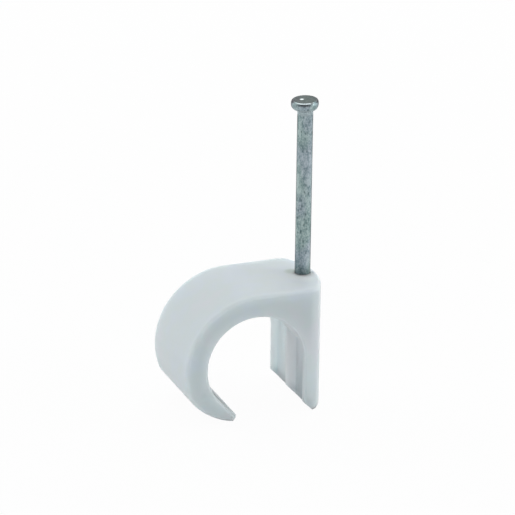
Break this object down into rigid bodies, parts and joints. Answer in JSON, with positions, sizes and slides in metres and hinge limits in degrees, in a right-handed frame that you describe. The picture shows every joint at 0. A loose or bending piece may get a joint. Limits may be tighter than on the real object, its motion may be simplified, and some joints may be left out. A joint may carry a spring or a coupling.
{
  "type": "nail in cable clip",
  "caption": "Hook-shaped plastic clip that holds a round cable against a wall, with a zinc-plated nail preset in its leg.",
  "frame": {"origin": "on the cable's axis, at mid length of the round seat", "axes": "+X towards the leg that holds the nail, +Y along the cable, +Z away from the wall, towards the nail's head"},
  "size_m": [0.0198, 0.012, 0.0398],
  "materials": {
    "clip_plastic": "satin moulded polyethylene, pale cool grey",
    "nail_steel": "zinc plated, mottled satin grey"
  },
  "bodies": {
    "clip": {"clip_body": "clip_plastic"},
    "nail": {"nail": "nail_steel"}
  },
  "joints": [
    {"name": "nail_drive", "type": "slide", "parent": "clip", "child": "nail", "axis": [0, 0, -1], "range_m": [0, 0.0217]}
  ]
}
